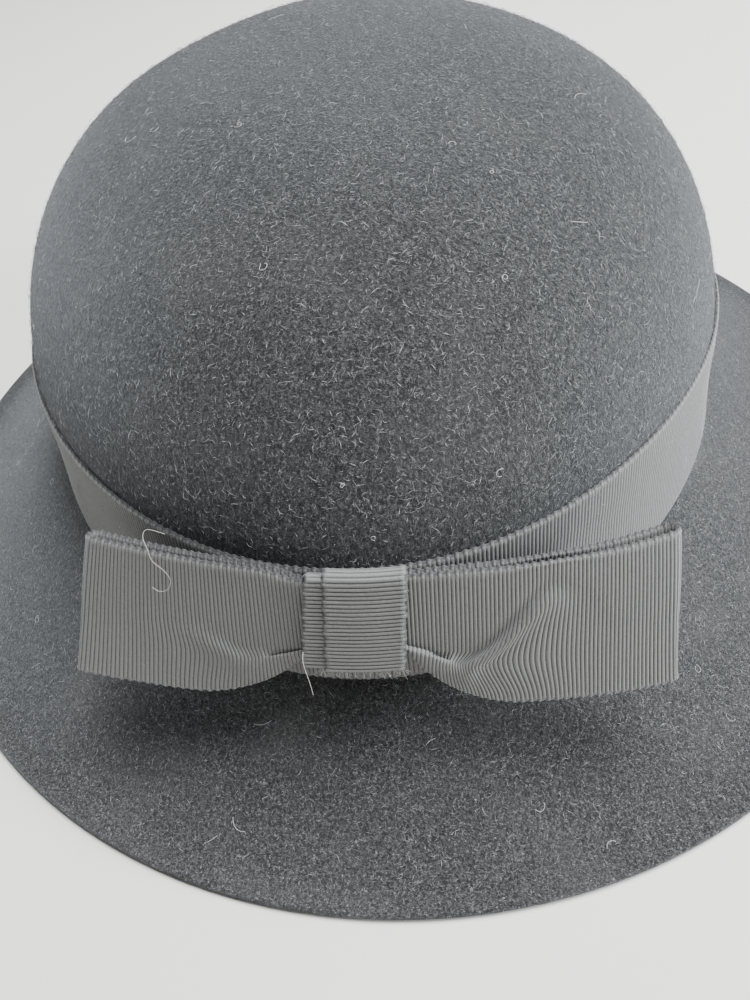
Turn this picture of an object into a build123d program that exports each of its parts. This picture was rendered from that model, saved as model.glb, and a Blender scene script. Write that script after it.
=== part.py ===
from build123d import *
from math import cos, pi, radians, sin
import os

# Round-crowned fur felt hat with a downturned brim, a ribbed ribbon band and a flat
# ribbon bow at the front.  Millimetres, +Z up.  The brim lies on Z = 0, the origin is
# the centre of the rim, and the wearer faces -Y, which is where the bow is.  Left and
# right are those of someone who faces the bow: left is -X and right is +X.

os.makedirs("parts", exist_ok=True)

# ---------------------------------------------------------------- driving dimensions
# Felt hood: crown and brim are blocked from one piece of felt.
felt_thickness = 2.2
crown_half_width = 84.0
crown_half_length = 96.5
crown_height = 111.0            # top of the crown above the table
crown_base_height = 28.0        # where the crown turns out into the brim
dome_start = 48.5               # the wall is straight below this level
dome_power = 2.05               # how suddenly the wall turns into the dome
dome_root = 2.5                 # how flat the top of the dome is
crown_pinch = 0.03              # how much the oval is drawn in at its four quarters
wall_flare = 4.4                # the wall spreads by this much over wall_flare_height
base_flare = 1.6                # and by this much more, mostly at the foot
wall_flare_height = 40.0
wall_slope = 9.0                # degrees that the wall leans where the band sits
crown_centre_x = -3.75          # the brim is a little wider on the right
crown_centre_y = -3.75          # and at the back
crown_lean_left = 0.016         # sideways lean of the crown, mm per mm of height
crown_lean_back = 0.041         # backward lean of the crown, mm per mm of height
rim_half_width = 138.5
rim_half_length = 138.5
rim_flat = 4.0                  # outer strip of the brim that lies flat on the table
brim_sweep = 1.3                # 1 is a straight slope, more is hollow like a bell

# Ribbon: band, bow loops and knot.
ribbon_width = 30.0
ribbon_thickness = 0.6
ribbon_gap = 0.2                # band to felt
band_rise = 1.2                 # the band's lower edge above the foot of the crown
bow_set_right = 2.1             # middle of the knot to the right of the crown's middle
bow_rise = 1.2                  # the bow's top edge above the band's
bow_left_reach = 55.5
bow_right_reach = 55.0
bow_left_back = 8.0             # how far the left fold stands back from the knot
bow_right_back = 4.8
bow_lean = 19.0                 # degrees that the bow leans back against the crown
bow_pinched_width = 17.0        # ribbon width where the knot grips it
bow_grip_margin = 0.8           # the loops stay flat and pinched this far past the knot
bow_pinch_run = 16.0            # and open to the full width over this distance
loop_thickness = 2.2            # a flattened loop, over both layers
loop_swell = 1.5                # extra fullness half way along a loop
knot_width = 14.0
knot_under_shift = 3.2          # the first turn of the knot shows this much at the left
knot_clearance = 0.1
knot_corner = 0.9

# Thread.
thread_thickness = 0.45
tack_length = 2.4
tack_angles = [25, 65, 100, 150]
bow_stitch_spread = 4.0         # each bow stitch to the middle of the knot
bow_stitch_rise = 4.0           # and above the knot's lower end
shank_gap = 0.4                 # end of a bow stitch to the ribbon it ties

# Inside: head ribbon and lining.
sweatband_width = 26.0
sweatband_thickness = 0.8
sweatband_standoff = 0.7        # room for the lining between felt and head ribbon
sweatband_rise = 1.0            # lower edge above the foot of the crown
stitch_length = 3.0
stitch_count = 84
stitch_edge = 2.5               # stitch line above the head ribbon's lower edge
lining_thickness = 0.4
lining_tuck = 8.0               # lining caught behind the head ribbon
lining_tuck_gap = 0.12
lining_slack = 4.0              # how far the lining hangs clear of the felt
lining_tip_depth = 25.0         # seam of the lining's tip below the top of the crown

# ---------------------------------------------------------------- shape of the hood
OVAL_POINTS = 16
APEX_SHARE = 0.06
CUT_OVERRUN = 1.0
band_bottom = crown_base_height + band_rise
band_top = band_bottom + ribbon_width * cos(radians(wall_slope))
lining_seam_height = crown_height - lining_tip_depth


def crown_station(level, inset=0.0, growth=0.0):
    """The crown's oval at one level: level, half width, half length, centre x and y,
    pinch.  inset gives the crown of an inner skin, growth only widens the oval."""
    rise = max(level - dome_start, 0) / (crown_height - inset - dome_start)
    fall = max(dome_start - level, 0) / wall_flare_height
    share = (1 - min(rise, 1) ** dome_power) ** (1 / dome_root)
    spread = wall_flare * fall + base_flare * fall**2 + growth
    return (
        level,
        (crown_half_width - inset) * share + spread,
        (crown_half_length - inset) * share + spread,
        crown_centre_x - crown_lean_left * level,
        crown_centre_y + crown_lean_back * level,
        crown_pinch,
    )


def dome_level(share, inset=0.0):
    """The level at which a dome has shrunk to this share of its wall."""
    rise = (1 - share**dome_root) ** (1 / dome_power)
    return dome_start + (crown_height - inset - dome_start) * rise


def brim_station(share, face_height):
    """An oval of the brim: share 0 at the crown's foot, 1 where the rim lies flat.
    face_height is felt_thickness on the upper face and 0 underneath."""
    _, half_width, half_length, centre_x, centre_y, pinch = crown_station(crown_base_height)
    climb = crown_base_height - felt_thickness
    return (
        face_height + climb * (1 - share) ** brim_sweep,
        half_width + (rim_half_width - rim_flat - half_width) * share,
        half_length + (rim_half_length - rim_flat - half_length) * share,
        centre_x * (1 - share),
        centre_y * (1 - share),
        pinch * (1 - share),
    )


def oval_section(station):
    """A level face bounded by one smooth closed oval."""
    level, half_width, half_length, centre_x, centre_y, pinch = station
    points = []
    for step in range(OVAL_POINTS):
        turn = 2 * pi * step / OVAL_POINTS
        drawn_in = 1 - pinch * sin(2 * turn) ** 2
        x = centre_x + half_width * drawn_in * cos(turn)
        y = centre_y + half_length * drawn_in * sin(turn)
        points.append((x, y))
    with BuildSketch(Plane.XY.offset(level)) as section:
        with BuildLine():
            Spline(*points, periodic=True)
        make_face()
    return section.sketch


def oval_point(station, turn):
    """A point of an oval, and the direction in degrees that its wall faces there."""
    level, half_width, half_length, centre_x, centre_y, pinch = station
    drawn_in = 1 - pinch * sin(2 * turn) ** 2
    x = centre_x + half_width * drawn_in * cos(turn)
    y = centre_y + half_length * drawn_in * sin(turn)
    facing = Vector(half_length * cos(turn), half_width * sin(turn), 0)
    return x, y, level, Vector(1, 0, 0).get_signed_angle(facing, Vector(0, 0, 1))


def hood_sections(inset, face_height):
    """Ovals of one face of the felt, from the flat rim up to the top of the crown."""
    brim_shares = [1.0, 0.84, 0.67, 0.5, 0.33, 0.18, 0.07]
    wall_levels = [crown_base_height + 3, crown_base_height + 9, dome_start]
    dome_shares = [0.985, 0.95, 0.89, 0.8, 0.68, 0.53, 0.37, 0.2, APEX_SHARE]
    stations = [brim_station(share, face_height) for share in brim_shares]
    stations += [crown_station(level, inset) for level in wall_levels]
    stations += [crown_station(dome_level(share, inset), inset) for share in dome_shares]
    return [oval_section(station) for station in stations]


def wall_sections(bottom, top, growth, steps=5):
    """Ovals that follow the crown's wall between two levels."""
    levels = [bottom + (top - bottom) * step / steps for step in range(steps + 1)]
    return [oval_section(crown_station(level, 0, growth)) for level in levels]


# ---------------------------------------------------------------- felt body
rim_station = (0, rim_half_width, rim_half_length, 0, 0, 0)

with BuildPart() as felt_body:
    loft(hood_sections(0, felt_thickness))
    extrude(oval_section(rim_station), amount=felt_thickness)
    loft(hood_sections(felt_thickness, 0), mode=Mode.SUBTRACT)

felt_body.part.label = "felt_body"
export_step(felt_body.part, "parts/felt_body.step")

# ---------------------------------------------------------------- hatband
band_inner_growth = ribbon_gap
band_outer_growth = ribbon_gap + ribbon_thickness

with BuildPart() as hatband:
    loft(wall_sections(band_bottom, band_top, band_outer_growth))
    loft(
        wall_sections(band_bottom - CUT_OVERRUN, band_top + CUT_OVERRUN, band_inner_growth),
        mode=Mode.SUBTRACT,
    )

hatband.part.label = "hatband"
export_step(hatband.part, "parts/hatband.step")

# Thread tacks that hold the band's top edge to the crown, round the back.
with BuildPart() as hatband_tacks:
    tack_station = crown_station(band_top, 0, band_outer_growth + thread_thickness)
    for angle in tack_angles:
        x, y, level, facing = oval_point(tack_station, radians(angle))
        with Locations(Location((x, y, level), (0, 0, facing))):
            with Locations(Location((0, 0, -tack_length / 4), (0, -wall_slope, 0))):
                Box(thread_thickness, thread_thickness, tack_length)

hatband_tacks.part.label = "hatband_tacks"
export_step(hatband_tacks.part, "parts/hatband_tacks.step")

# ---------------------------------------------------------------- bow
# The bow's own axes: across is +X, up lies along the leaning bow, out points away
# from the crown.  Its origin is the middle of the ribbon's top edge.
lean = radians(bow_lean)
knot_depth = loop_thickness / 2 + knot_clearance + 2 * ribbon_thickness
band_face = crown_station(band_top, 0, band_outer_growth)
bow_stand = (knot_depth + knot_clearance + ribbon_thickness) / cos(lean)
bow_origin = (
    band_face[3] + bow_set_right,
    band_face[4] - band_face[2] - bow_stand,
    band_top + bow_rise,
)
bow_face = Plane(origin=bow_origin, x_dir=(1, 0, 0), z_dir=(0, -cos(lean), sin(lean)))
bow_plan = Plane(origin=bow_origin, x_dir=(1, 0, 0), z_dir=bow_face.y_dir)
bow_side = Plane(origin=bow_origin, x_dir=bow_face.y_dir, z_dir=(1, 0, 0))


# How far the part that the knot grips reaches on each side, -1 the left and 1 the right.
grip_reach = {
    -1: knot_width / 2 + knot_under_shift + bow_grip_margin,
    1: knot_width / 2 + bow_grip_margin,
}
loop_reach = {-1: bow_left_reach, 1: bow_right_reach}
loop_back = {-1: bow_left_back, 1: bow_right_back}


def loop_line(side, share):
    """A point of a loop's middle line, and the way it runs there, seen along the
    ribbon's width.  share is 0 where the loop leaves the grip and 1 at its fold."""
    run = loop_reach[side] - loop_thickness / 2 - grip_reach[side]
    point = Vector(side * (grip_reach[side] + run * share), loop_back[side] * share**2)
    return point, Vector(side * run, 2 * loop_back[side] * share).normalized()


def loop_points(side, face, fold):
    """Points of one loop's outline from the grip to the fold.  face is -1 in front and
    1 towards the crown, fold is half the thickness at the fold."""
    points = []
    for step in range(5):
        point, along = loop_line(side, step / 4)
        half = fold + loop_swell / 2 * sin(pi * step / 4) ** 2
        points.append(point + along.rotate(Axis.Z, 90) * side * face * half)
    return points


def loop_face(skin):
    """The face inside the outline of both loops, drawn in by skin."""
    fold = loop_thickness / 2 - skin
    with BuildSketch(bow_plan) as outline:
        with BuildLine():
            for face in (-1, 1):
                Line((-grip_reach[-1], face * fold), (grip_reach[1], face * fold))
                for side in (-1, 1):
                    end_way = loop_line(side, 1)[1]
                    Spline(*loop_points(side, face, fold), tangents=[(side, 0), end_way])
            for side in (-1, 1):
                end, way = loop_line(side, 1)
                across = way.rotate(Axis.Z, 90)
                ThreePointArc(end - across * fold, end + way * fold, end + across * fold)
        make_face()
    return outline.sketch


with BuildPart() as bow_loops:
    extrude(loop_face(0), amount=-ribbon_width)
    extrude(loop_face(ribbon_thickness), amount=-ribbon_width, mode=Mode.SUBTRACT)
    with BuildSketch(bow_face):
        with BuildLine():
            grip_line = Line(
                (-grip_reach[-1], -bow_pinched_width),
                (grip_reach[1], -bow_pinched_width),
            )
            left_edge = Spline(
                (-grip_reach[-1] - bow_pinch_run, -ribbon_width),
                grip_line @ 0,
                tangents=[(1, 0), (1, 0)],
            )
            right_edge = Spline(
                grip_line @ 1,
                (grip_reach[1] + bow_pinch_run, -ribbon_width),
                tangents=[(1, 0), (1, 0)],
            )
            Polyline(
                right_edge @ 1,
                (right_edge @ 1) - Vector(0, CUT_OVERRUN),
                (left_edge @ 0) - Vector(0, CUT_OVERRUN),
                left_edge @ 0,
            )
        make_face()
    extrude(amount=ribbon_width, both=True, mode=Mode.SUBTRACT)

bow_loops.part.label = "bow_loops"
export_step(bow_loops.part, "parts/bow_loops.step")

# The knot is a narrow ribbon wound twice round the bow; the first turn is set to the left.
grip_length = bow_pinched_width + 2 * knot_clearance
grip_depth = loop_thickness + 2 * knot_clearance
knot_start = -knot_width / 2
under_start = knot_start - knot_under_shift
turns = [(ribbon_thickness, under_start), (2 * ribbon_thickness, knot_start)]

with BuildPart() as bow_knot:
    for build_up, start in turns:
        with BuildSketch(bow_side.offset(start)):
            with Locations((-bow_pinched_width / 2, 0)):
                RectangleRounded(grip_length + 2 * build_up, grip_depth + 2 * build_up, knot_corner)
        extrude(amount=knot_width)
    with BuildSketch(bow_side.offset(under_start)):
        with Locations((-bow_pinched_width / 2, 0)):
            Rectangle(grip_length, grip_depth)
    extrude(amount=knot_width + knot_under_shift, mode=Mode.SUBTRACT)

bow_knot.part.label = "bow_knot"
export_step(bow_knot.part, "parts/bow_knot.step")

# Threads that tie the back of the knot to the band, near the knot's lower end.
stitch_drop = bow_pinched_width - bow_stitch_rise
stitch_height = bow_origin[2] - stitch_drop * cos(lean)
wall_station = crown_station(stitch_height, 0, band_outer_growth)
wall_y = wall_station[4] - wall_station[2]
knot_back_y = bow_origin[1] - stitch_drop * sin(lean) + knot_depth / cos(lean)
shank = wall_y - knot_back_y - 2 * shank_gap

with BuildPart() as bow_stitches:
    for side in (-1, 1):
        place = (
            bow_origin[0] + side * bow_stitch_spread,
            wall_y - shank_gap - shank / 2,
            stitch_height,
        )
        with Locations(Location(place, (90, 0, 0))):
            Cylinder(thread_thickness / 2, shank)

bow_stitches.part.label = "bow_stitches"
export_step(bow_stitches.part, "parts/bow_stitches.step")

# ---------------------------------------------------------------- inside of the crown
sweatband_bottom = crown_base_height + sweatband_rise
sweatband_top = sweatband_bottom + sweatband_width
sweatband_outer = -(felt_thickness + sweatband_standoff)
sweatband_inner = sweatband_outer - sweatband_thickness

with BuildPart() as sweatband:
    loft(wall_sections(sweatband_bottom, sweatband_top, sweatband_outer))
    loft(
        wall_sections(sweatband_bottom - CUT_OVERRUN, sweatband_top + CUT_OVERRUN, sweatband_inner),
        mode=Mode.SUBTRACT,
    )

sweatband.part.label = "sweatband"
export_step(sweatband.part, "parts/sweatband.step")

with BuildPart() as sweatband_stitches:
    stitch_growth = sweatband_inner - thread_thickness
    stitch_station = crown_station(sweatband_bottom + stitch_edge, 0, stitch_growth)
    for index in range(stitch_count):
        x, y, level, facing = oval_point(stitch_station, 2 * pi * index / stitch_count)
        with Locations(Location((x, y, level), (0, 0, facing))):
            Box(thread_thickness, stitch_length, thread_thickness)

sweatband_stitches.part.label = "sweatband_stitches"
export_step(sweatband_stitches.part, "parts/sweatband_stitches.step")


def lining_stations(bottom, top, skin):
    """Ovals of the lining's side: snug behind the head ribbon, slack above it."""
    steps = 9
    stations = []
    for step in range(steps + 1):
        level = bottom + (top - bottom) * step / steps
        loose = min(max((level - sweatband_top) / (lining_seam_height - sweatband_top) * 2, 0), 1)
        slack = lining_tuck_gap + (lining_slack - lining_tuck_gap) * loose * loose * (3 - 2 * loose)
        stations.append(crown_station(level, felt_thickness + slack + skin))
    return stations


lining_bottom = sweatband_top - lining_tuck

with BuildPart() as lining_side:
    loft([oval_section(s) for s in lining_stations(lining_bottom, lining_seam_height, 0)])
    loft(
        [
            oval_section(s)
            for s in lining_stations(
                lining_bottom - CUT_OVERRUN, lining_seam_height + CUT_OVERRUN, lining_thickness
            )
        ],
        mode=Mode.SUBTRACT,
    )

lining_side.part.label = "lining_side"
export_step(lining_side.part, "parts/lining_side.step")


def tip_sections(start_level, inset):
    """Ovals of the lining's domed tip, from its seam up to the middle."""
    start_share = (
        1 - ((start_level - dome_start) / (crown_height - inset - dome_start)) ** dome_power
    ) ** (1 / dome_root)
    steps = 6
    sections = [oval_section(crown_station(start_level, inset))]
    for step in range(1, steps + 1):
        share = start_share + (APEX_SHARE - start_share) * step / steps
        sections.append(oval_section(crown_station(dome_level(share, inset), inset)))
    return sections


tip_inset = felt_thickness + lining_slack

with BuildPart() as lining_tip:
    loft(tip_sections(lining_seam_height, tip_inset))
    loft(
        tip_sections(lining_seam_height - CUT_OVERRUN, tip_inset + lining_thickness),
        mode=Mode.SUBTRACT,
    )

lining_tip.part.label = "lining_tip"
export_step(lining_tip.part, "parts/lining_tip.step")
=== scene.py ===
import bpy
import math
import numpy as np
from mathutils import Matrix, Vector


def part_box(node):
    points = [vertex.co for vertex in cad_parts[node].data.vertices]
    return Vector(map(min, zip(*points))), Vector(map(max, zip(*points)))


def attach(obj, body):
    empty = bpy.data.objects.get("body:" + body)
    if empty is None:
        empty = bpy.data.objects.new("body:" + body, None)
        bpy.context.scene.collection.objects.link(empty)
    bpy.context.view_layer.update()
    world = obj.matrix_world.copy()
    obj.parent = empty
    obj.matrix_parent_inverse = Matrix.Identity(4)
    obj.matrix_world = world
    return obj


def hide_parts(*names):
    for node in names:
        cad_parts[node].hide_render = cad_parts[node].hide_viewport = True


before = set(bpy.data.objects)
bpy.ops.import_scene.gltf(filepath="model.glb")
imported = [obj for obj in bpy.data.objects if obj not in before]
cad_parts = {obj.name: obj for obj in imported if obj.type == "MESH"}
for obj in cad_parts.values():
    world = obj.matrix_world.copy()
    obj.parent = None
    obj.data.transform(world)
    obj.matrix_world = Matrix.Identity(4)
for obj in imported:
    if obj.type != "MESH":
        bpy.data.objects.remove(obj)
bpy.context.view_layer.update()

# ------------------------------------------------------------------------ felt hood
# The crown and the brim are one hood of dark fur felt, steamed and pulled over a block.
# It has no seam.  The brim's edge is cut and left raw, a little rounded by wear.
mm = 0.001
felt_low, felt_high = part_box("felt_body")
felt_thickness = 2.2 * mm
crown_half = np.array([84.0, 96.5]) * mm
crown_top = felt_high.z
crown_foot = 28.0 * mm
dome_start = 48.5 * mm
dome_power = 2.05
dome_root = 2.5
wall_flare_height = 40.0 * mm
wall_flare = 4.4 * mm
base_flare = 1.6 * mm
crown_pinch = 0.03
crown_centre = np.array([-3.75, -3.75]) * mm
crown_lean = np.array([-0.016, 0.041])
rim_half = felt_high.x
rim_flat = 4.0 * mm
brim_sweep = 1.3
felt_turns = 320
dome_rings = 33
wall_rings = 8
brim_rings = 26
felt_unevenness = 0.35 * mm


def crown_oval(level, inset=0.0):
    """The crown's oval at a level: half sizes, centre and how far its quarters draw in."""
    rise = max(level - dome_start, 0) / (crown_top - inset - dome_start)
    fall = max(dome_start - level, 0) / wall_flare_height
    share = (1 - min(rise, 1) ** dome_power) ** (1 / dome_root)
    half = (crown_half - inset) * share + wall_flare * fall + base_flare * fall**2
    return half, crown_centre + crown_lean * level, crown_pinch


def dome_level(share, inset=0.0):
    """The level where the dome has shrunk to this share of the wall."""
    rise = (1 - share**dome_root) ** (1 / dome_power)
    return dome_start + (crown_top - inset - dome_start) * rise


def brim_oval(share):
    """The brim's oval between the crown's foot, share 0, and the flat rim, share 1."""
    half, centre, pinch = crown_oval(crown_foot)
    rim = rim_half - rim_flat
    return half + (rim - half) * share, centre * (1 - share), pinch * (1 - share)


def brim_level(share):
    """How high the upper face of the brim is there."""
    climb = crown_foot - felt_thickness
    return felt_thickness + climb * (1 - share) ** brim_sweep


def oval_ring(oval, level, turns, spread=0.0):
    """Points round an oval at one level; turns are angles in radians."""
    half, centre, pinch = oval
    drawn_in = 1 - pinch * np.sin(2 * turns) ** 2
    x = centre[0] + (half[0] * drawn_in + spread) * np.cos(turns)
    y = centre[1] + (half[1] * drawn_in + spread) * np.sin(turns)
    return np.stack([x, y, np.full(len(turns), level)], axis=1)


def hood_rings(face_drop, inset):
    """Rings of one face of the felt, from the top of the crown down to the flat rim."""
    turns = np.arange(felt_turns) * math.tau / felt_turns
    rings = []
    for share in np.sin(np.linspace(0.02, 1, dome_rings + 1)[:-1] * math.pi / 2) ** 1.15:
        level = dome_level(share, inset)
        rings.append(oval_ring(crown_oval(level, inset), level, turns))
    for level in np.linspace(dome_start, crown_foot, wall_rings + 1)[:-1]:
        rings.append(oval_ring(crown_oval(level, inset), level, turns))
    for share in np.linspace(0, 1, brim_rings):
        under = inset * (1 - share) ** 6
        half, centre, pinch = brim_oval(share)
        rings.append(oval_ring((half - under, centre, pinch), brim_level(share) - face_drop, turns))
    return rings


def uneven(points):
    """A soft, hand-blocked unevenness, the same on both faces of the felt."""
    x, y, z = (points[:, axis] / mm for axis in range(3))
    waves = np.sin(x / 31 + 1.3 * np.sin(y / 47)) + np.sin(y / 23 + z / 19 + 2) * 0.7
    waves += np.sin((x + y) / 13 + 0.9 * np.sin(z / 9)) * 0.35
    outward = points - np.array([crown_centre[0], crown_centre[1], 20 * mm])
    outward /= np.linalg.norm(outward, axis=1)[:, None]
    fade = np.clip(points[:, 2:3] / (8 * mm), 0, 1)
    return points + outward * waves[:, None] * felt_unevenness * fade


def mesh_piece(name, points, faces, material):
    """A smooth mesh object that rides with the hat."""
    mesh = bpy.data.meshes.new(name)
    mesh.from_pydata([tuple(p) for p in points], [], [tuple(f) for f in faces])
    mesh.validate()
    mesh.shade_smooth()
    mesh.materials.append(material)
    piece = bpy.data.objects.new(name, mesh)
    bpy.context.scene.collection.objects.link(piece)
    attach(piece, "root")
    return piece


def joined_rings(rings):
    """Points and four-sided faces of a tube through equal rings, closed round each ring."""
    count = len(rings[0])
    points = np.concatenate(rings)
    here = np.arange(count)
    after = (here + 1) % count
    faces = []
    for step in range(len(rings) - 1):
        low, high = step * count, (step + 1) * count
        faces += np.stack([low + here, high + here, high + after, low + after], axis=1).tolist()
    return points, faces


def closed_shell(rings):
    """A tube through rings whose first and last ring are each filled to a middle point."""
    count = len(rings[0])
    points, faces = joined_rings(rings)
    first, last = len(points), len(points) + 1
    points = np.concatenate([points, [rings[0].mean(axis=0)], [rings[-1].mean(axis=0)]])
    base = len(points) - 2 - count
    for here in range(count):
        after = (here + 1) % count
        faces.append([first, here, after])
        faces.append([last, base + after, base + here])
    return points, faces


class Shade:
    """A value or colour on its way through a material; arithmetic adds Math nodes."""

    def __init__(self, cloth, socket):
        self.cloth = cloth
        self.socket = socket

    def maths(self, operation, first, second=0.0):
        return self.cloth.node("ShaderNodeMath", {"operation": operation}, {0: first, 1: second})

    def __add__(self, other):
        return self.maths("ADD", self, other)

    __radd__ = __add__

    def __sub__(self, other):
        return self.maths("SUBTRACT", self, other)

    def __rsub__(self, other):
        return self.maths("SUBTRACT", other, self)

    def __mul__(self, other):
        return self.maths("MULTIPLY", self, other)

    __rmul__ = __mul__

    def between(self, low, high):
        """0 below low, 1 above high and a smooth rise between."""
        settings = {"interpolation_type": "SMOOTHSTEP"}
        return self.cloth.node("ShaderNodeMapRange", settings, {0: self, 1: low, 2: high})


class Cloth:
    """A material under construction, with one way to add any node."""

    def __init__(self, name):
        self.material = bpy.data.materials.new(name)
        self.material.use_nodes = True
        self.tree = self.material.node_tree
        self.surface = self.tree.nodes["Principled BSDF"]

    def fill(self, node, sockets):
        for key, value in sockets.items():
            if isinstance(value, Shade):
                self.tree.links.new(value.socket, node.inputs[key])
            else:
                node.inputs[key].default_value = value

    def node(self, kind, settings, sockets, output=0):
        """Adds a node, sets its settings and then its sockets, and gives one output."""
        node = self.tree.nodes.new(kind)
        for key, value in settings.items():
            setattr(node, key, value)
        self.fill(node, sockets)
        return Shade(self, node.outputs[output])

    def place(self, stretch=(1, 1, 1)):
        """Where a point of the piece is, in metres, stretched along the three axes."""
        where = self.node("ShaderNodeTexCoord", {}, {}, "Object")
        return self.node("ShaderNodeVectorMath", {"operation": "MULTIPLY"}, {0: where, 1: stretch})

    def noise(self, where, grain, detail=3.0, roughness=0.55, distortion=0.0):
        """Cloudy noise whose patches are about one grain across."""
        sockets = {"Vector": where, "Scale": 1 / grain, "Detail": detail, "Roughness": roughness}
        return self.node("ShaderNodeTexNoise", {}, {**sockets, "Distortion": distortion})

    def tone(self, share, dark, light):
        """A colour between two colours."""
        settings = {"data_type": "RGBA"}
        return self.node("ShaderNodeMix", settings, {0: share, 6: (*dark, 1), 7: (*light, 1)}, 2)

    def tinted(self, share, colour, other):
        """The colour worked out so far, moved by share towards another plain colour."""
        settings = {"data_type": "RGBA"}
        return self.node("ShaderNodeMix", settings, {0: share, 6: colour, 7: (*other, 1)}, 2)

    def finish(self, colour, height, depth, strength=1.0, **sockets):
        """Sets the surface's colour, its relief of a given depth and its plain values."""
        relief = {"Height": height, "Distance": depth, "Strength": strength}
        normal = self.node("ShaderNodeBump", {}, relief)
        self.fill(self.surface, {"Base Color": colour, "Normal": normal})
        self.fill(self.surface, {key.replace("_", " "): value for key, value in sockets.items()})
        return self.material


def felt_cloth():
    """Dark fur felt: a dense short nap, brushed mostly one way, cloudy and a little dusty."""
    cloth = Cloth("fur_felt")
    swirl = cloth.noise(cloth.place(), 9 * mm, 2, 0.5)
    nap = cloth.noise(cloth.place((1, 1, 0.45)), 0.55 * mm, 5, 0.72, 0.8)
    fine = cloth.noise(cloth.place((0.6, 1, 1)), 0.22 * mm, 3, 0.7, 0.5)
    patches = cloth.noise(cloth.place(), 26 * mm, 3, 0.6)
    fur = nap * 0.62 + fine * 0.38
    tufts = fur.between(0.42, 0.62)
    flecks = (fine * 0.5 + nap * 0.5).between(0.57, 0.68)
    colour = cloth.tone(tufts, (0.016, 0.0160, 0.0165), (0.105, 0.105, 0.107))
    colour = cloth.tinted(flecks * 0.80, colour, (0.48, 0.485, 0.495))
    colour = cloth.tinted(patches.between(0.45, 0.75) * 0.20, colour, (0.120, 0.117, 0.112))
    colour = cloth.tinted(swirl.between(0.5, 0.8) * 0.15, colour, (0.030, 0.030, 0.032))
    return cloth.finish(
        colour,
        fur + swirl * 0.25,
        0.55 * mm,
        0.8,
        Roughness=0.92,
        Specular_IOR_Level=0.18,
        Sheen_Weight=0.27,
        Sheen_Roughness=0.38,
        Sheen_Tint=(0.87, 0.93, 1.0, 1),
        Diffuse_Roughness=1.0,
    )


felt_material = felt_cloth()
outer_rings = hood_rings(0.0, 0.0)
inner_rings = hood_rings(felt_thickness, felt_thickness)
edge_turns = np.arange(felt_turns) * math.tau / felt_turns
edge_round = felt_thickness / 2
edge_rings = []
for bend in np.linspace(0, math.pi, 9):
    reach = rim_half - edge_round + edge_round * math.sin(bend)
    rim_oval = (np.array([reach, reach]), np.zeros(2), 0.0)
    edge_rings.append(oval_ring(rim_oval, edge_round + edge_round * math.cos(bend), edge_turns))
hood_points, hood_faces = closed_shell(outer_rings + edge_rings + inner_rings[::-1])
felt_hood = mesh_piece("felt_hood", uneven(hood_points), hood_faces, felt_material)
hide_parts("felt_body")

# ------------------------------------------------------------------------ loose fur and lint
# Brushing leaves short hairs of the fur standing out of the nap all over the hood, and
# wear adds a few longer curly bits of lint.  They cling to the felt by themselves.
hair_seed = 11
crown_hairs = 32000
brim_hairs = 16000
hair_length = (0.5 * mm, 1.7 * mm)
hair_radius = 0.036 * mm
lint_curls = 120
lint_radius = 0.035 * mm


def plain_fibre(name, colour):
    """The matt surface of a single hair, one even colour as a hair has."""
    cloth = Cloth(name)
    cloth.fill(cloth.surface, {"Base Color": (*colour, 1), "Roughness": 0.7, "Sheen Weight": 0.3})
    return cloth.material


def scattered(rings, count, chance):
    """Random places on a tube of rings, with the outward normal and a level direction."""
    grid = np.stack(rings)
    a, b = grid[:-1], grid[1:]
    c, d = np.roll(b, -1, axis=1), np.roll(a, -1, axis=1)
    across, along = (c - a), (b - d)
    normals = np.cross(across, along)
    areas = np.linalg.norm(normals, axis=2)
    normals = -normals / np.maximum(areas, 1e-12)[:, :, None]
    weights = (areas / areas.sum()).ravel()
    picked = chance.choice(len(weights), size=count, p=weights)
    row, column = np.unravel_index(picked, areas.shape)
    s, t = chance.random((2, count, 1))
    top = a[row, column] * (1 - s) + d[row, column] * s
    low = b[row, column] * (1 - s) + c[row, column] * s
    level = d[row, column] - a[row, column]
    level /= np.linalg.norm(level, axis=1)[:, None]
    return top * (1 - t) + low * t, normals[row, column], level


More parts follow.
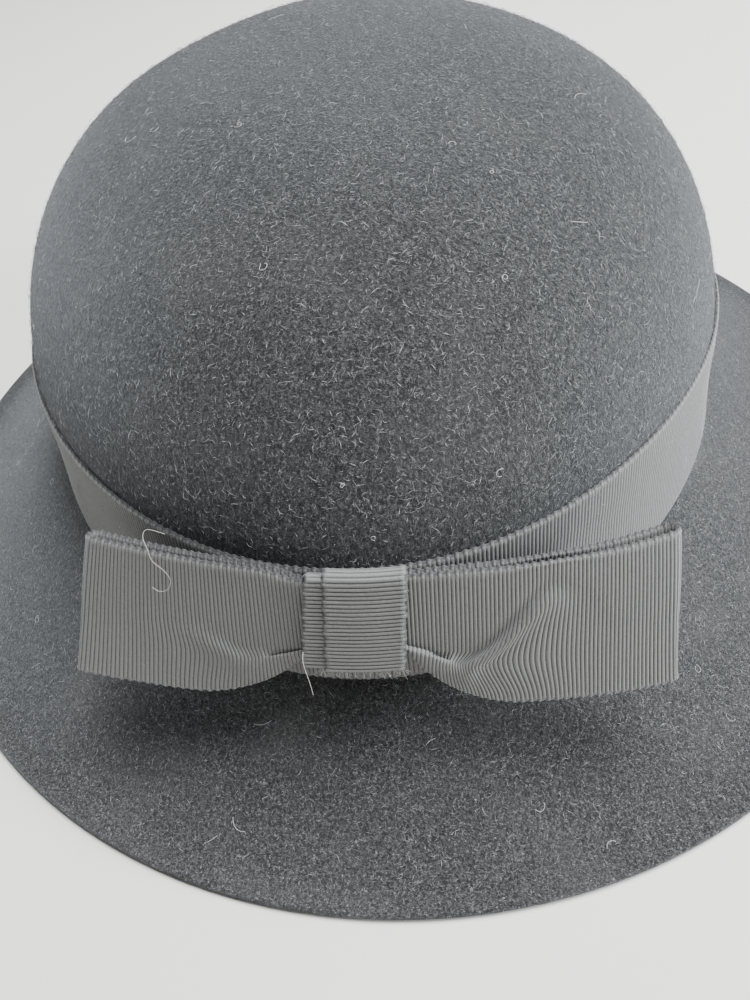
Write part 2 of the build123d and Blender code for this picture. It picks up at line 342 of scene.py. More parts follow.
def hair_piece(name, rings, count, seed):
    """Short bent hairs, each a closed spindle of six faces, strewn over part of the felt."""
    chance = np.random.default_rng(seed)
    root, out, level = scattered(rings, count, chance)
    root = uneven(root)
    slope = np.cross(out, level)
    heading = chance.normal(0.5, 1.25, count)[:, None]
    way = level * np.cos(heading) + slope * np.sin(heading)
    side = np.cross(out, way)
    long = chance.uniform(*hair_length, count)[:, None] * chance.choice([1, 1, 1, 1.7], count)[:, None]
    lift = chance.uniform(0.04, 0.30, count)[:, None] * long
    bend = chance.normal(0, 0.22, count)[:, None] * long
    middle = root + way * long * 0.5 + side * bend + out * lift
    tip = root + way * long + side * bend * 0.3 + out * lift * chance.uniform(0.2, 1.5, count)[:, None]
    start = root - out * 0.05 * mm
    thick = hair_radius * chance.uniform(0.6, 1.35, count)[:, None]
    waist = [middle + thick * (side * math.cos(a) + out * math.sin(a)) for a in (0.5, 2.6, 4.7)]
    points = np.stack([start, *waist, tip], axis=1).reshape(-1, 3)
    pattern = np.array([[0, 2, 1], [0, 3, 2], [0, 1, 3], [4, 1, 2], [4, 2, 3], [4, 3, 1]])
    faces = (np.arange(count)[:, None, None] * 5 + pattern[None]).reshape(-1, 3)
    piece = mesh_piece(name, points, faces.tolist(), plain_fibre(name + "_pale", (0.42, 0.43, 0.445)))
    piece.data.materials.append(plain_fibre(name + "_mid", (0.20, 0.205, 0.215)))
    piece.data.materials.append(plain_fibre(name + "_dark", (0.030, 0.030, 0.033)))
    shade = chance.choice([0, 1, 1, 2], count).repeat(6)
    piece.data.polygons.foreach_set("material_index", shade.astype(np.int32))
    return piece


crown_ring_count = dome_rings + wall_rings
hair_piece("crown_hairs", outer_rings[1:crown_ring_count + 1], crown_hairs, hair_seed)
hair_piece("brim_hairs", outer_rings[crown_ring_count:], brim_hairs, hair_seed + 1)


def tube(route, radius, sides):
    """Points and faces of a closed round tube along a route of points."""
    route = np.asarray(route, float)
    heading = np.gradient(route, axis=0)
    heading /= np.linalg.norm(heading, axis=1)[:, None]
    guide = np.array([0.31, 0.22, 0.92])
    side = np.cross(heading, guide)
    side /= np.linalg.norm(side, axis=1)[:, None]
    other = np.cross(heading, side)
    angles = (np.arange(sides) * math.tau / sides)[None, :, None]
    spokes = side[:, None] * np.cos(angles) + other[:, None] * np.sin(angles)
    return closed_shell(list(route[:, None] + spokes * radius))


def tubes_piece(name, routes, radius, material, sides=6):
    """Several tubes as one piece."""
    points, faces, start = [], [], 0
    for route in routes:
        tube_points, tube_faces = tube(route, radius, sides)
        points.append(tube_points)
        faces += [[start + corner for corner in face] for face in tube_faces]
        start += len(tube_points)
    return mesh_piece(name, np.concatenate(points), faces, material)


lint_chance = np.random.default_rng(hair_seed + 2)
lint_roots, lint_out, lint_level = scattered(outer_rings[6:], lint_curls, lint_chance)
lint_routes = []
for root, out, level in zip(uneven(lint_roots), lint_out, lint_level):
    slope = np.cross(out, level)
    heading = lint_chance.uniform(0, math.tau)
    curl = lint_chance.normal(0, 0.55)
    pace = lint_chance.uniform(0.18, 0.42) * mm
    route = [root + out * 0.03 * mm]
    for step in range(12):
        heading += curl * lint_chance.uniform(0.2, 1.2)
        lift = math.sin(step / 11 * math.pi) * 0.10 * mm
        onward = (level * math.cos(heading) + slope * math.sin(heading)) * pace
        route.append(route[-1] + onward + out * lift * 0.2)
    lint_routes.append(route)
lint = tubes_piece("lint", lint_routes, lint_radius, plain_fibre("lint_fibre", (0.62, 0.62, 0.60)), 5)

# ------------------------------------------------------------------------ hatband
# Thick dark grey grosgrain ribbon: fat weft cords make the ribs across it, and both edges
# are a picot selvedge.  It is drawn tight round the crown, its join under the bow.
rib_pitch = 0.84 * mm
rib_relief = 0.20 * mm
picot_reach = 0.42 * mm
ribbon_thickness = 0.36 * mm
band_low, band_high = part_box("hatband")
band_stand = 0.42 * mm


def ribbon_cloth(name, ridge, groove_shade, shine=0.4):
    """Grosgrain: a painted highlight on the ridges and painted shade in the grooves, fine threads across
    the cords with painted shade between them, patches of wear, a dull shine.
    """
    cloth = Cloth(name)
    height = cloth.node("ShaderNodeAttribute", {"attribute_name": "ridge"}, {}, "Fac")
    threads = cloth.noise(cloth.place((1, 1, 0.5)), 0.16 * mm, 3, 0.65)
    cords = cloth.noise(cloth.place(), 0.9 * mm, 3, 0.6)
    wear = cloth.noise(cloth.place(), 7 * mm, 3, 0.6)
    # Painted light: the ridge attribute paints the lit colour on the rib tops and the shaded colour in the
    # grooves between them.
    lit_crest = (height + (cords - 0.5) * 0.5).between(0.25, 0.85)
    colour = cloth.tone(lit_crest, groove_shade, ridge)
    # Painted shade in the gaps between the fine threads, in the grooves' shaded colour; the line after
    # makes some thread tops paler.
    colour = cloth.tinted((1 - threads.between(0.36, 0.55)) * 0.42, colour, groove_shade)
    colour = cloth.tinted(threads.between(0.60, 0.74) * 0.35, colour, [1.9 * part for part in ridge])
    colour = cloth.tinted(wear.between(0.5, 0.75) * 0.18, colour, [0.7 * part for part in ridge])
    return cloth.finish(
        colour,
        threads * 0.7 + cords * 0.5,
        0.10 * mm,
        0.7,
        Roughness=0.62,
        Specular_IOR_Level=shine,
        Sheen_Weight=0.28,
        Sheen_Roughness=0.42,
        Sheen_Tint=(0.9, 0.95, 1.0, 1),
    )


def rib_columns(length, pitch, closed):
    """Where the columns of a ribbed mesh lie along it, and how high on a rib each one is."""
    ribs = max(int(round(length / pitch)), 2)
    steps = np.array([0.0, 0.2, 0.5, 0.8])
    heights = np.array([0.0, 0.82, 1.0, 0.82])
    along = ((np.arange(ribs)[:, None] + steps) / ribs).ravel()
    ridge = np.tile(heights, ribs)
    if not closed:
        along, ridge = np.append(along, 1.0), np.append(ridge, 0.0)
    return along, ridge, ribs


def ribbed_ribbon(name, surface, length, rows, material, closed=False, pitch=rib_pitch, seed=0):
    """A woven ribbon with real ribs and picot edges.

    surface(along, rows) gives the ribbon's middle surface, along and rows from 0 to 1,
    as an array of points, one line of points across the ribbon for each place along it."""
    along, ridge, ribs = rib_columns(length, pitch, closed)
    rows = np.asarray(rows, float)
    middle = surface(along, rows)
    chance = np.random.default_rng(seed)
    pull = chance.normal(0, 0.05, ribs).repeat(4)
    pull = np.append(pull, 0)[: len(along)] if not closed else pull
    wave = 0.5 + 0.5 * np.cos(math.pi * (along * ribs - 0.5))
    picot = (0.10 + 0.8 * wave) * (1 + 2 * pull) * picot_reach
    edge = 1.0 + 0.5 * wave
    for end, inner in ((0, 1), (-1, -2)):
        outward = middle[:, end] - middle[:, inner]
        outward /= np.linalg.norm(outward, axis=1)[:, None]
        middle[:, end] += outward * picot[:, None]
    if closed:
        run = np.roll(middle, -1, axis=0) - np.roll(middle, 1, axis=0)
    else:
        run = np.gradient(middle, axis=0)
    run = (run + np.roll(run, 1, axis=0) + np.roll(run, -1, axis=0)) / 3 if closed else run
    normals = np.cross(run, np.gradient(middle, axis=1))
    normals /= np.maximum(np.linalg.norm(normals, axis=2), 1e-12)[:, :, None]
    relief = np.tile((ridge * (1 + pull))[:, None], (1, len(rows)))
    relief[:, [1, -2]] = (relief[:, [1, -2]] * 0.7 + 0.35) * edge[:, None]
    relief[:, [0, -1]] = -0.6
    lift = (ribbon_thickness / 2 + relief * rib_relief)[:, :, None]
    faces_out, faces_in = middle + normals * lift, middle - normals * lift
    points = np.concatenate([faces_out.reshape(-1, 3), faces_in.reshape(-1, 3)])
    columns, width = len(along), len(rows)
    back = columns * width
    here = np.arange(columns if closed else columns - 1)
    after = (here + 1) % columns
    faces = []
    for row in range(width - 1):
        a, b = here * width + row, after * width + row
        faces += np.stack([a, b, b + 1, a + 1], axis=1).tolist()
        faces += np.stack([back + a, back + a + 1, back + b + 1, back + b], axis=1).tolist()
    for row, turned in ((0, False), (width - 1, True)):
        a, b = here * width + row, after * width + row
        rim = [a, back + a, back + b, b]
        faces += np.stack(rim[::-1] if turned else rim, axis=1).tolist()
    if not closed:
        for column, turned in ((0, True), (columns - 1, False)):
            a = column * width + np.arange(width - 1)
            rim = [a, back + a, back + a + 1, a + 1]
            faces += np.stack(rim[::-1] if turned else rim, axis=1).tolist()
    piece = mesh_piece(name, points, faces, material)
    # The ridge attribute holds how high each point sits on its rib; the ribbon colour uses it to paint a
    # highlight on the rib tops and shade in the grooves and at the picot edges.
    attribute = piece.data.attributes.new("ridge", "FLOAT", "POINT")
    share = np.clip(np.tile(relief.ravel(), 2), 0, 1.4)
    attribute.data.foreach_set("value", share.astype(np.float32))
    return piece


def wall_surface(bottom, top, spread, waviness=0.0, turned=0.0):
    """A ribbon's middle surface laid round the crown's wall, evenly spaced by length."""
    fine = np.linspace(0, math.tau, 4001) + turned
    centre_line = oval_ring(crown_oval((bottom + top) / 2), 0, fine, spread)
    gone = np.concatenate([[0], np.cumsum(np.linalg.norm(np.diff(centre_line, axis=0), axis=1))])

    def surface(along, rows):
        turns = np.interp(along * gone[-1], gone, fine)
        lines = []
        for row in rows:
            level = bottom + (top - bottom) * row
            wave = np.sin(3 * turns + 2) * 0.5 + np.sin(7 * turns + 4 * row) * 0.3
            wave = wave + np.sin(13 * turns) * 0.2
            lines.append(oval_ring(crown_oval(level), level, turns, spread + waviness * (1 + wave)))
        return np.stack(lines, axis=1)

    return surface, gone[-1]


selvedge_rows = [0, 0.022, 0.05, 0.2, 0.4, 0.6, 0.8, 0.95, 0.978, 1]
# The first colour is the ribs' painted highlight, the second the painted shade in the grooves.
ribbon_material = ribbon_cloth("grosgrain", (0.165, 0.162, 0.157), (0.044, 0.044, 0.044))
band_surface, band_length = wall_surface(band_low.z, band_high.z, band_stand, 0.12 * mm)
hatband = ribbed_ribbon(
    "hatband_ribbon", band_surface, band_length, selvedge_rows, ribbon_material, closed=True, seed=3
)
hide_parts("hatband")

# The band's upper edge is caught to the felt by four short stitches round the back.
tack_turns = [25, 65, 100, 150]
thread_radius = 0.17 * mm


def thread_surface(name):
    """Matt dark sewing thread with a faint twist."""
    cloth = Cloth(name)
    twist = cloth.noise(cloth.place((1, 1, 1)), 0.25 * mm, 2, 0.5)
    colour = cloth.tone(twist.between(0.3, 0.7), (0.010, 0.010, 0.011), (0.040, 0.040, 0.042))
    return cloth.finish(colour, twist, 0.08 * mm, 0.8, Roughness=0.6, Sheen_Weight=0.2)


thread_material = thread_surface("sewing_thread")
tack_routes = []
for degrees in tack_turns:
    for apart in (-0.35, 0.35):
        turns = np.array([math.radians(degrees) + apart * mm / crown_half[0]])
        route = []
        for share in np.linspace(0, 1, 9):
            level = band_high.z - 1.6 * mm + share * 2.6 * mm
            rise = math.sin(share * math.pi) * 0.45 * mm + (1 - share) * 0.35 * mm
            route.append(oval_ring(crown_oval(level), level, turns, band_stand + rise)[0])
        tack_routes.append(route)
tacks = tubes_piece("band_tacks", tack_routes, thread_radius, thread_material)
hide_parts("hatband_tacks")

# ------------------------------------------------------------------------ bow
# One length of the band's ribbon, folded into two flat loops and gripped in the middle,
# where its lower part is pleated under.  It leans back, as the crown does.
bow_top = Vector((-4.7, -99.0, 60.2)) * mm
knot_height = 18.0 * mm
knot_lean = math.radians(21)
loop_lean = math.radians(17.5)
bow_sides = {
    -1: {"tip": (-51.8, -88.7, 60.4), "hem": (-60.6, -102.9, 33.9), "apart": (3.0, 1.1), "bend": 1.6},
    1: {"tip": (49.6, -90.6, 58.6), "hem": (52.2, -106.8, 32.2), "apart": (3.8, 1.2), "bend": 2.5},
}
loop_samples = 60
layer_gap = 0.95 * mm


def smooth(share):
    """0 to 1 with level ends."""
    share = np.clip(share, 0, 1)
    return share * share * (3 - 2 * share)


def top_edge(side, share):
    """The loops' upper edge, from the knot, share 0, to a tip, share 1."""
    start, end = np.array(bow_top), np.array(bow_sides[side]["tip"]) * mm
    way = np.stack([share, share ** bow_sides[side]["bend"], share], axis=-1)
    return start + (end - start) * way


def down_way(side, share):
    """The way down along the ribbon's width, which turns from the knot to a tip."""
    knot_way = np.array([0, -math.sin(loop_lean), -math.cos(loop_lean)])
    tip_way = (np.array(bow_sides[side]["hem"]) - np.array(bow_sides[side]["tip"])) * mm
    tip_way /= np.linalg.norm(tip_way)
    way = knot_way + (tip_way - knot_way) * (share**1.7)[..., None]
    return way / np.linalg.norm(way, axis=-1)[..., None]


ribbon_full = 29.5
pleats = {
    -1: {
        "tuck": 2.0, "fold": 1.5, "run": 19.0, "end": 29.0,
        "climb": 15.0, "drop": 1.9, "flare": 2.0, "pull": 1.6,
    },
    1: {
        "tuck": 4.0, "fold": 2.4, "run": 19.5, "end": 34.0,
        "climb": 6.0, "drop": 0.5, "flare": 2.3, "pull": 3.6,
    },
}
lip_row, under_row = 0.5, 0.58


def pleat(side, out, row):
    """How far down, back and inward a row of the ribbon lies at a distance from the middle.

    Near the knot the lower part of the ribbon is folded up behind the upper part, at its
    lip, and comes out again under it; the fold runs out as a soft crease that climbs."""
    shape = pleats[side]
    out = out / mm
    level = np.clip((out - 7.5) / (shape["run"] - 7.5), 0, 1)
    climbed = smooth((out - shape["run"]) / (shape["end"] - shape["run"]))
    left_over = smooth((out - shape["end"]) / 12)
    lip = 17.6 + 1.9 * level - (19.5 - shape["climb"]) * climbed + (14.5 - shape["climb"]) * left_over
    bottom = ribbon_full - 13.3 * (1 - np.clip((out - 8) / 22, 0, 1)) ** shape["flare"]
    top = shape["drop"] * (1 - smooth((out - 7.0) / 10))
    under = lip - shape["tuck"] * 0.55 * (1 - smooth(level)) + (bottom - lip) * 0.10
    if row <= lip_row:
        share = row / lip_row
        height, step = top + (lip - top) * share, -0.25 * share**3
    elif row <= under_row:
        share = (row - lip_row) / (under_row - lip_row)
        height, step = lip + (under - lip) * share, share * 1.25 - 0.25
    else:
        share = (row - under_row) / (1 - under_row)
        height, step = under + (bottom - under) * share, 1 - 0.45 * share**2
    sharp = 1 - smooth((out - 9) / (shape["run"] - 6))
    valley = np.exp(-(((height - lip - 2.0) / 2.8) ** 2))
    valley = valley - 0.4 * np.exp(-(((height - lip + 1.8) / 2.0) ** 2))
    fading = 1 - smooth((out - shape["end"] + 4) / 8)
    depth = shape["fold"] * (step * sharp + valley * (1 - sharp) * fading)
    near = np.exp(-(((out - shape["run"] - 6) / 8) ** 2))
    sunk = smooth((height - lip + 2) / (22 - lip)) * (1 - 0.8 * smooth((height - 19) / 10))
    inward = shape["pull"] * near * sunk
    return height * mm, depth * mm, inward * mm


def layer_depth(side, share, row, front):
    """How far a layer stands in front of (less than 0) or behind the loop's middle."""
    upper, lower = (part * mm for part in bow_sides[side]["apart"])
    apart = upper + (lower - upper) * smooth(row)
    opening = layer_gap / 2 + (apart - layer_gap) / 2 * np.clip(share, 0, 1) ** 2.2
    full = np.sin(np.clip(share, 0, 1) * math.pi) ** 1.3
    full = full * (0.5 + 0.9 * math.sin(row * math.pi)) * 0.9 * mm
    if front:
        return -opening - full
    return opening + full * 0.25


def loop_layer(side, shares, row, front):
    """A line of points along one layer of a loop at one row of the ribbon."""
    top = top_edge(side, shares)
    out = np.abs(top[:, 0] - bow_top.x)
    height, tuck, inward = pleat(side, out, row)
    down = down_way(side, shares)
    run = np.gradient(top, axis=0) * side
    run /= np.linalg.norm(run, axis=1)[:, None]
    back = np.cross(down, run)
    back /= np.linalg.norm(back, axis=1)[:, None]
    depth = layer_depth(side, shares, row, front) + (tuck if front else tuck * 0.4)
    return top + down * height[:, None] + back * depth[:, None] - run * side * inward[:, None]


def bow_surface(along, rows):
    """The whole bow ribbon: back, left tip, front, right tip, back again."""
    shares = np.linspace(0, 1, loop_samples)
    lines = []
    for row in rows:
        path = []
        for side, order in ((-1, 1), (1, -1)):
            back_layer = loop_layer(side, shares, row, False)
            front_layer = loop_layer(side, shares, row, True)
            middle = (back_layer[-1] + front_layer[-1]) / 2
            radius = (back_layer[-1] - front_layer[-1]) / 2
            beyond = (front_layer[-1] - front_layer[-2]) + (back_layer[-1] - back_layer[-2])
            beyond *= np.linalg.norm(radius) / np.linalg.norm(beyond)
            bends = np.linspace(math.pi / 2, -math.pi / 2, 9)[1:-1, None]
            fold = middle + radius * np.sin(bends) + beyond * np.cos(bends)
            half = np.concatenate([back_layer, fold, front_layer[::-1]])
            path.append(half[::order])
        path = np.concatenate([path[0][:-1], path[1]])
        if not lines:
            gone = np.concatenate([[0], np.cumsum(np.linalg.norm(np.diff(path, axis=0), axis=1))])
            gone /= gone[-1]
        lines.append(np.stack([np.interp(along, gone, path[:, axis]) for axis in range(3)], axis=1))
    return np.stack(lines, axis=1)


bow_length = 0.232
bow_pitch = 0.76 * mm
bow_rows = np.concatenate([
    [0, 0.021, 0.05],
    np.linspace(0.10, lip_row, 9),
    [0.52, 0.54, 0.56, under_row],
    np.linspace(0.62, 0.95, 10),
    [0.974, 0.988, 1],
])
bow_loops = ribbed_ribbon(
    "bow_ribbon", bow_surface, bow_length, bow_rows, ribbon_material, pitch=bow_pitch, seed=5
)
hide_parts("bow_loops")

# The knot is a narrow grosgrain ribbon wound twice round the bow's middle.  The first turn
# shows as a strip at the left, and the raw end of the last turn frays at the lower front.
knot_pitch = 0.82 * mm
knot_rows = [0, 0.03, 0.07, 0.2, 0.35, 0.5, 0.65, 0.8, 0.93, 0.97, 1]


def knot_surface(left, right, stand, end, slant):
    """A turn round the bow: up the back, over the top and down the front."""
    down = np.array([0, -math.sin(knot_lean), -math.cos(knot_lean)])
    back = np.array([0, math.cos(knot_lean), -math.sin(knot_lean)])
    corner = 0.85 * mm + stand
    deep = layer_gap / 2 + 0.55 * mm + stand
    low, high = knot_height + 1.7 * mm, 0.35 * mm - stand
    flat = low - high - corner
    route = [back * deep + down * (high + corner + flat * step) for step in (1, 0.75, 0.5, 0.25)]
    for bend in np.linspace(0, math.pi / 2, 6):
        turn_in = back * (deep - corner + corner * math.cos(bend))
        route.append(turn_in + down * (high + corner - corner * math.sin(bend)))
    for bend in np.linspace(math.pi / 2, 0, 6):
        turn_in = -back * (deep - corner + corner * math.cos(bend))
        route.append(turn_in + down * (high + corner - corner * math.sin(bend)))
    bulge = [0.25, 0.45, 0.55, 0.45, 0.2, 0]
    for step, out in zip(np.linspace(0.15, 1, 6), bulge):
        route.append(-back * (deep + out * 0.4 * mm) + down * (high + corner + flat * step))
    route = np.array(bow_top) + np.array(route)
    gone = np.concatenate([[0], np.cumsum(np.linalg.norm(np.diff(route, axis=0), axis=1))])

    def surface(along, rows):
        reach = end * along * gone[-1]
        line = np.stack([np.interp(reach, gone, route[:, axis]) for axis in range(3)], axis=1)
        drop = (np.array(bow_top) - line) @ np.array([0, 0, 1])
        lines = []
        for row in rows:
            belly = -0.22 * mm * np.sin(row * math.pi)
            points = line + np.array([0, 1, 0]) * belly + down * 0.12 * mm * np.sin(row * math.pi)
            wander = 0.12 * mm * np.sin(reach / mm * 1.3)
            points[:, 0] += left + (right - left) * row + slant * drop + wander
            lines.append(points)
        return np.stack(lines, axis=1)

    return surface, gone[-1] * end


under_surface, under_length = knot_surface(-8.1 * mm, 5.0 * mm, 0.0, 0.985, -0.13)
over_surface, over_length = knot_surface(-4.9 * mm, 9.1 * mm, 0.62 * mm, 1.0, -0.07)
under_turn = ribbed_ribbon(
    "knot_under_turn", under_surface, under_length, knot_rows, ribbon_material, pitch=knot_pitch, seed=7
)
over_turn = ribbed_ribbon(
    "knot_over_turn", over_surface, over_length, knot_rows, ribbon_material, pitch=knot_pitch, seed=8
)
for turn_piece in (under_turn, over_turn):
    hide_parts("bow_knot")

# The knot's cut end sheds short wisps, and one sewing thread was left hanging under it.
fray_wisps = 190
fray_chance = np.random.default_rng(21)
knot_down = np.array([0, -math.sin(knot_lean), -math.cos(knot_lean)])
knot_front = np.array([0, -math.cos(knot_lean), math.sin(knot_lean)])
fray_routes = []
for wisp in range(fray_wisps):
    across = fray_chance.uniform(-6.8, 7.2) * mm
    root = np.array(bow_top) + knot_down * (knot_height + 1.2 * mm) + knot_front * 1.6 * mm
    root = root + np.array([across, 0, 0])
    fall = knot_down + knot_front * fray_chance.uniform(-0.3, 0.6)
    fall = fall + np.array([fray_chance.normal(0, 0.5), 0, 0])
    long = fray_chance.uniform(0.5, 1.9) * mm
    curl = np.array([fray_chance.normal(0, 0.35), fray_chance.normal(0, 0.2), 0]) * mm
    fray_routes.append([root + fall * long * step + curl * step**2 for step in np.linspace(-0.3, 1, 6)])
fray = tubes_piece("knot_fray", fray_routes, 0.035 * mm, plain_fibre("frayed_yarn", (0.20, 0.195, 0.18)), 5)

hanging_thread = [
    Vector((-14.3, -106.8, 47.9)),
    Vector((-14.2, -108.6, 47.6)),
    Vector((-13.8, -109.8, 46.2)),
    Vector((-13.4, -110.6, 43.4)),
    Vector((-13.2, -111.2, 40.4)),
]
lint_curl = [
    Vector((-38.1, -90.9, 62.4)),
    Vector((-41.2, -90.4, 63.2)),
    Vector((-41.9, -91.6, 62.5)),
    Vector((-40.8, -93.8, 61.7)),
    Vector((-40.1, -95.2, 60.3)),
    Vector((-38.3, -96.1, 58.5)),
    Vector((-37.5, -96.9, 56.8)),
    Vector((-38.2, -97.7, 55.2)),
    Vector((-39.8, -97.8, 54.7)),
    Vector((-41.1, -97.4, 55.6)),
]


def smooth_route(corners, steps=6):
    """A smooth line through corners, in metres, for a thread that lies in curves."""
    corners = [corners[0]] + corners + [corners[-1]]
    route = []
    for a, b, c, d in zip(corners, corners[1:], corners[2:], corners[3:]):
        for t in np.arange(steps) / steps:
            bent = (2 * a - 5 * b + 4 * c - d) * t**2 + (3 * b - a - 3 * c + d) * t**3
            route.append(np.array(2 * b + (c - a) * t + bent) * 0.5 * mm)
    return route + [np.array(corners[-1]) * mm]


stray = tubes_piece(
    "stray_threads",
    [smooth_route(hanging_thread), smooth_route(lint_curl)],
    0.055 * mm,
    plain_fibre("pale_lint", (0.34, 0.32, 0.29)),
)

# Behind the knot two short shanks of doubled thread tie the bow to the band.
stitch_low, stitch_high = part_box("bow_stitches")
shank_level = (stitch_low.z + stitch_high.z) / 2
shank_routes = []
for place in (stitch_low.x, stitch_high.x):
    for strand in range(4):
        turn = strand * math.tau / 4
        route = []
        for share in np.linspace(0, 1, 9):
            twist = turn + share * 3.5
            route.append(np.array([
                place + 0.2 * mm * math.cos(twist),
                stitch_low.y + (stitch_high.y - stitch_low.y) * share,
                shank_level + 0.2 * mm * math.sin(twist) - 0.3 * mm * math.sin(share * math.pi),
            ]))
        shank_routes.append(route)
shanks = tubes_piece("bow_shanks", shank_routes, 0.14 * mm, thread_material)
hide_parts("bow_stitches")

# ------------------------------------------------------------------------ head ribbon
# Inside, a softer petersham ribbon lines the lower edge of the crown where it touches the
# head.  It is sewn along its lower edge only, its ends lapped at the back.
head_low, head_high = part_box("sweatband")
head_stand = -(felt_thickness + 1.1 * mm)
head_pitch = 1.0 * mm
# The first colour is the ribs' painted highlight, the second the painted shade in the grooves.
head_material = ribbon_cloth("petersham", (0.105, 0.105, 0.110), (0.018, 0.018, 0.020), 0.3)
head_surface, head_length = wall_surface(head_low.z, head_high.z, head_stand, -0.10 * mm)
head_ribbon = ribbed_ribbon(
    "head_ribbon", head_surface, head_length, selvedge_rows, head_material,
    closed=True, pitch=head_pitch, seed=9,
)
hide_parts("sweatband")

lap_length = 12.0 * mm
lap_turned, _ = wall_surface(head_low.z, head_high.z, head_stand - 0.75 * mm, 0.0, math.radians(88))
lap_share = lap_length / head_length


def lap_surface(along, rows):
    """The lapped end of the head ribbon, lying on its other end at the back."""
    return lap_turned(along * lap_share, rows)


head_lap = ribbed_ribbon(
    "head_ribbon_lap", lap_surface, lap_length, selvedge_rows, head_material, pitch=head_pitch, seed=10
)

# Running stitches catch the head ribbon's lower edge to the felt, dipping in at both ends.
stitch_count = 84
stitch_length = 3.0 * mm
catch_low, catch_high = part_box("sweatband_stitches")
catch_level = (catch_low.z + catch_high.z) / 2
catch_surface, catch_round = wall_surface(catch_level, catch_level + mm, head_stand - 0.42 * mm)
catch_routes = []
for index in range(stitch_count):
    shares = (index * catch_round / stitch_count + np.linspace(0, stitch_length, 9)) / catch_round
    line = catch_surface(shares % 1, [0.0])[:, 0]
    inward = -line * np.array([1, 1, 0])
    inward /= np.linalg.norm(inward, axis=1)[:, None]
    dip = np.sin(np.linspace(0, math.pi, 9)) ** 0.5 * 0.42 * mm - 0.36 * mm
    catch_routes.append(line + inward * dip[:, None])
catch_stitches = tubes_piece("head_ribbon_stitches", catch_routes, 0.16 * mm, thread_material)
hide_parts("sweatband_stitches")

# ------------------------------------------------------------------------ lining
# A satin lining hangs clear of the felt: a side piece tucked behind the head ribbon and
# gathered at the top into an oval tip, with the seam allowance turned to the felt.
side_low, side_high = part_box("lining_side")
tip_low, tip_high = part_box("lining_tip")
lining_turns = np.arange(360) * math.tau / 360
lining_slack = 4.0 * mm
lining_tuck_gap = 0.12 * mm
lining_thickness = 0.3 * mm
gather_depth = 1.5 * mm


def satin_cloth():
    """Black satin: smooth floats with a soft gleam, fine crossways threads, faint pulls."""
    cloth = Cloth("satin")
    floats = cloth.noise(cloth.place((1, 1, 0.12)), 0.12 * mm, 3, 0.6)
    slubs = cloth.noise(cloth.place((0.2, 0.2, 1)), 0.9 * mm, 3, 0.6)
    folds = cloth.noise(cloth.place(), 12 * mm, 2, 0.5)
    colour = cloth.tone(floats.between(0.3, 0.7), (0.016, 0.0155, 0.017), (0.042, 0.041, 0.044))
    colour = cloth.tinted(slubs.between(0.62, 0.8) * 0.3, colour, (0.070, 0.068, 0.072))
    cloth.fill(cloth.surface, {"Roughness": 0.34 + folds * 0.16})
    relief = floats * 0.5 + slubs * 0.5 + folds * 1.5
    return cloth.finish(colour, relief, 0.12 * mm, 0.6, Specular_IOR_Level=0.55, Sheen_Weight=0.15)


def gathered(ring, amount, phase=0.0):
    """A ring of the lining drawn into small folds of a given depth."""
    turns = lining_turns
    folds = np.sin(41 * turns + 2.2 * np.sin(5 * turns + phase))
    folds = folds + 0.6 * np.sin(67 * turns + 3 * np.sin(3 * turns))
    inward = ring.mean(axis=0) - ring
    inward[:, 2] = 0
    inward /= np.maximum(np.linalg.norm(inward, axis=1)[:, None], 1e-9)
    return ring + inward * ((0.5 + folds / 3.2) * amount)[:, None]


def sleeve(name, outer, inner, material):
    """A thin closed sleeve between an outer and an inner run of rings."""
    points, faces = joined_rings(outer + inner[::-1] + outer[:1])
    count = len(outer[0])
    kept = len(points) - count
    faces = [[corner if corner < kept else corner - kept for corner in face] for face in faces]
    return mesh_piece(name, points[:kept], faces, material)


def side_ring(level, skin):
    """The lining's side at one level: snug behind the head ribbon, slack and gathered above."""
    share = (level - side_low.z) / (side_high.z - side_low.z)
    loose = smooth((level - head_high.z) / (side_high.z - head_high.z) * 2)
    inset = felt_thickness + lining_tuck_gap + (lining_slack - lining_tuck_gap) * loose + skin
    ring = oval_ring(crown_oval(level, inset), level, lining_turns)
    return gathered(ring, gather_depth * share**2 * 0.9 * loose)


satin = satin_cloth()
side_levels = np.linspace(side_low.z, side_high.z, 22)
lining_side = sleeve(
    "satin_side",
    [side_ring(level, 0.0) for level in side_levels],
    [side_ring(level, lining_thickness) for level in side_levels],
    satin,
)
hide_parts("lining_side")


def tip_rings(skin):
    """The domed tip from its seam to near its middle, gathered a little at the seam."""
    inset = felt_thickness + lining_slack + skin
    rise = (tip_low.z - dome_start) / (crown_top - inset - dome_start)
    start = (1 - rise**dome_power) ** (1 / dome_root)
    rings = []
    for share in np.linspace(start, 0.04, 22):
        level = dome_level(share, inset)
        ring = oval_ring(crown_oval(level, inset), level, lining_turns)
        rings.append(gathered(ring, gather_depth * (share / start) ** 10, 1.0))
    return rings


tip_outer, tip_inner = tip_rings(0.0), tip_rings(lining_thickness)
tip_points, tip_faces = closed_shell(tip_outer[::-1] + tip_inner)
lining_tip = mesh_piece("satin_tip", tip_points, tip_faces, satin)
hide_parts("lining_tip")

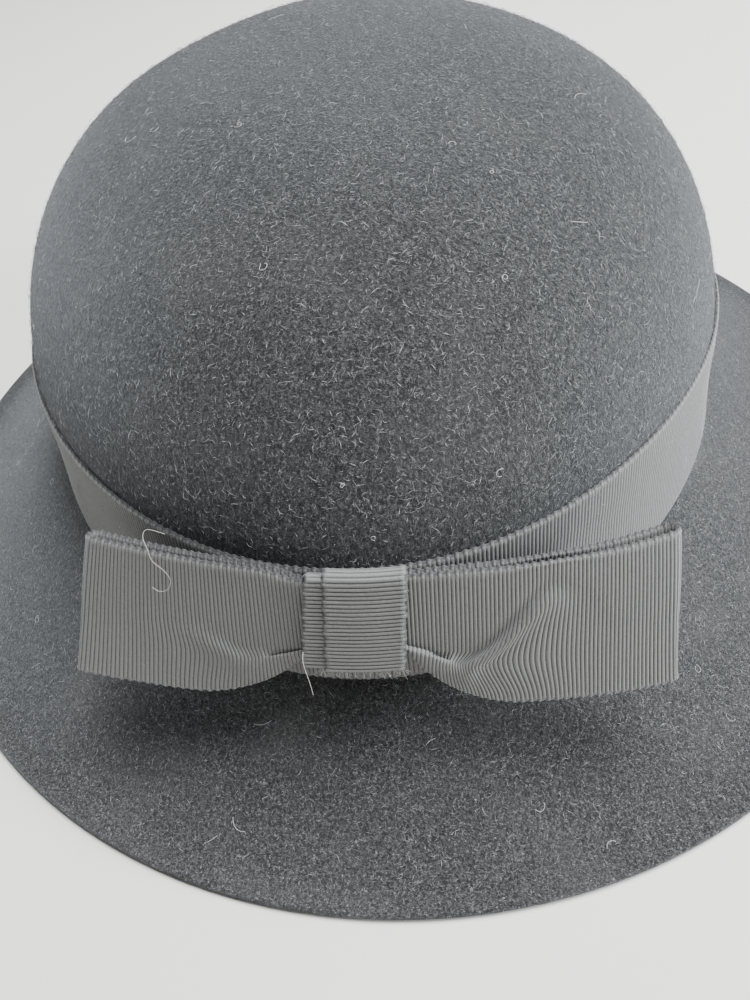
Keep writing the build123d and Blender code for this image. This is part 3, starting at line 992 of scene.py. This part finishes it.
# ------------------------------------------------------------------------ table, light and camera
# A plain pale table top under soft daylight from above, with a window at the right that
# lights that side of the bow, the band and the brim.
table = bpy.data.meshes.new("table_top")
table.from_pydata([(-3, -3, 0), (3, -3, 0), (3, 3, 0), (-3, 3, 0)], [], [(0, 1, 2, 3)])
table_top = bpy.data.objects.new("table_top", table)
bpy.context.scene.collection.objects.link(table_top)
table_cloth = Cloth("pale_table")
table_cloth.fill(table_cloth.surface, {"Base Color": (0.72, 0.70, 0.67, 1), "Roughness": 0.75})
table.materials.append(table_cloth.material)


def soft_light(name, place, target, size, power, colour):
    """A square soft box that faces a point."""
    light = bpy.data.lights.new(name, "AREA")
    light.size, light.energy, light.color = size, power, colour
    box = bpy.data.objects.new(name, light)
    box.location = place
    box.rotation_euler = (Vector(target) - Vector(place)).to_track_quat("-Z", "Y").to_euler()
    bpy.context.scene.collection.objects.link(box)


soft_light("overhead", (0.25, 0.22, 1.22), (0, 0, 0.05), 0.7, 48, (0.95, 0.98, 1.0))
soft_light("side_window", (1.15, -0.16, 0.45), (0.03, -0.1, 0.03), 0.5, 27, (0.94, 0.98, 1.0))
sky = bpy.data.worlds.new("pale_room")
sky.use_nodes = True
sky.node_tree.nodes["Background"].inputs["Color"].default_value = (1.0, 0.99, 0.97, 1)
sky.node_tree.nodes["Background"].inputs["Strength"].default_value = 0.19
bpy.context.scene.world = sky

# The camera is held close above the bow, about 13 cm away, with a wide lens.
camera_place = Vector((8.5, -174.5, 163.6)) * mm
camera_pitch, camera_yaw, camera_roll = (math.radians(angle) for angle in (48.28, -5.98, -6.66))
view_width_share = 0.758
ahead = Vector((
    math.sin(camera_yaw) * math.cos(camera_pitch),
    math.cos(camera_yaw) * math.cos(camera_pitch),
    -math.sin(camera_pitch),
))
level_right = ahead.cross(Vector((0, 0, 1))).normalized()
level_up = level_right.cross(ahead)
right = level_right * math.cos(camera_roll) + level_up * math.sin(camera_roll)
up = level_up * math.cos(camera_roll) - level_right * math.sin(camera_roll)
lens = bpy.data.cameras.new("camera")
lens.sensor_width = 36
lens.lens = 36 * view_width_share
lens.clip_start = 0.005
camera = bpy.data.objects.new("camera", lens)
camera.matrix_world = Matrix.Translation(camera_place) @ Matrix((right, up, -ahead)).transposed().to_4x4()
bpy.context.scene.collection.objects.link(camera)
bpy.context.scene.camera = camera
